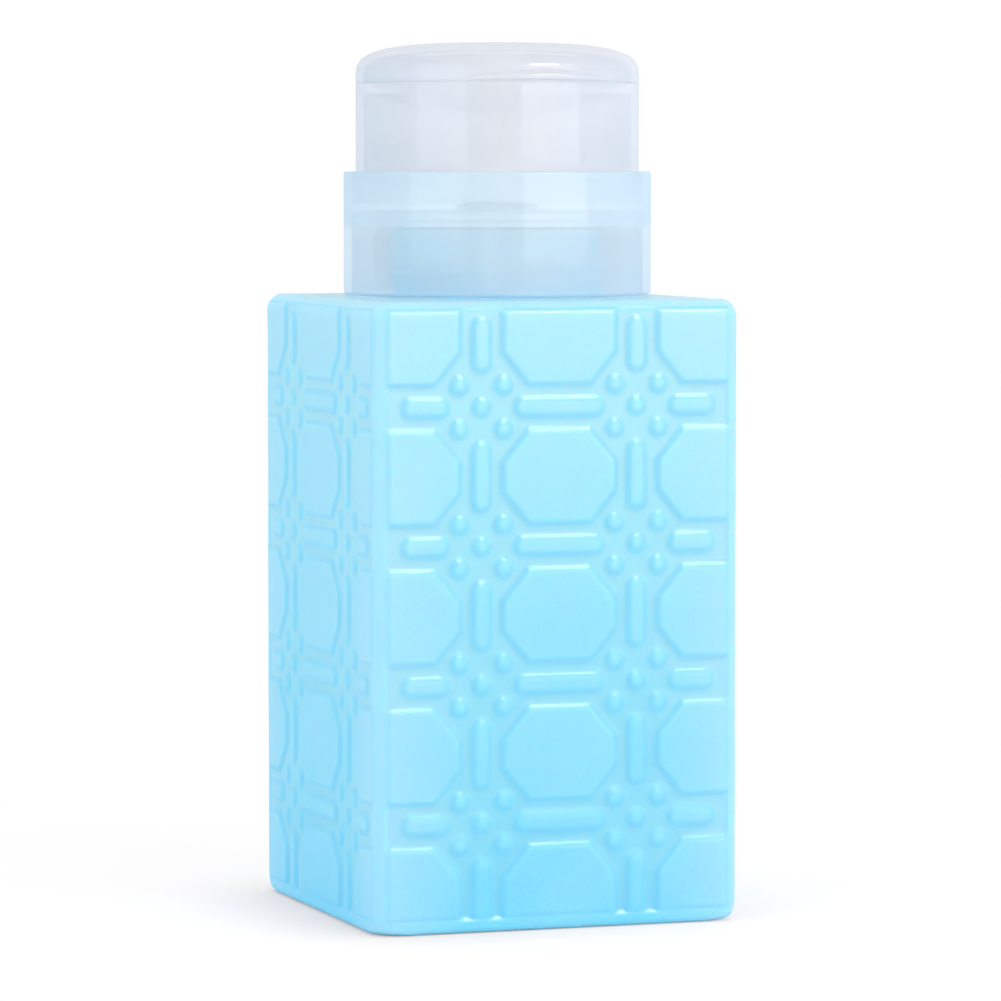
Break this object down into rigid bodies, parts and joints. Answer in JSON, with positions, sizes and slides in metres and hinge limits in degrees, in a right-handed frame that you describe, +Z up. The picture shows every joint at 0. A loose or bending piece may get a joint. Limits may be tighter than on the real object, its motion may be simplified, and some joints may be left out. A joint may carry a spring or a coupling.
{
  "type": "nail polish remover pump",
  "caption": "Square push-down pump bottle with an embossed octagon lattice, screw collar, press head with a pad dish, hinged domed lid and a ball-valve pump inside",
  "frame": {"origin": "middle of the base, at the height of the rim it stands on", "axes": "+Z is up along the pump's axis; the front face with the thumb lip above it looks to -Y; the lid's hinge is at +Y; +X is to the right of someone facing the front"},
  "size_m": [0.056, 0.056, 0.1285],
  "materials": {
    "frosted_blue": "translucent frosted moulded plastic, fine matt on the raised pads",
    "milky_white": "milky translucent moulded plastic, glossy",
    "natural_plastic": "natural uncoloured moulded plastic",
    "soft_white": "soft white sealing material",
    "steel": "stainless steel wire, pin and balls"
  },
  "bodies": {
    "bottle": {"bottle": "frosted_blue"},
    "pump": {"pump_housing": "natural_plastic", "neck_gasket": "soft_white", "chaplet": "natural_plastic", "ball_cage": "natural_plastic", "dip_tube": "natural_plastic", "return_spring": "steel"},
    "collar": {"screw_collar": "milky_white"},
    "head": {"press_head": "milky_white", "stem": "natural_plastic", "piston": "natural_plastic", "piston_foot": "natural_plastic", "outlet_cap": "natural_plastic", "hinge_pin": "steel"},
    "lid": {"flip_lid": "milky_white", "lid_seal": "soft_white"},
    "inlet_ball": {"inlet_ball": "steel"},
    "outlet_ball": {"outlet_ball": "steel"}
  },
  "joints": [
    {"name": "pump_lift", "type": "slide", "parent": "bottle", "child": "pump", "axis": [0, 0, 1], "range_m": [0, 0.105]},
    {"name": "collar_turn", "type": "hinge", "parent": "pump", "child": "collar", "pos_m": [0, 0, 0.0913], "axis": [0, 0, 1], "range_deg": [0, 540]},
    {"name": "press", "type": "slide", "parent": "pump", "child": "head", "axis": [0, 0, -1], "range_m": [0, 0.0036], "stiffness_N_per_m": 400, "springref_m": -0.012, "deforming": ["return_spring"]},
    {"name": "lid_hinge", "type": "hinge", "parent": "head", "child": "lid", "pos_m": [0, 0.0229, 0.12255], "axis": [-1, 0, 0], "range_deg": [0, 115]},
    {"name": "inlet_ball_lift", "type": "slide", "parent": "pump", "child": "inlet_ball", "axis": [0, 0, 1], "range_m": [0, 0.0012]},
    {"name": "outlet_ball_lift", "type": "slide", "parent": "head", "child": "outlet_ball", "axis": [0, 0, 1], "range_m": [0, 0.001]}
  ]
}
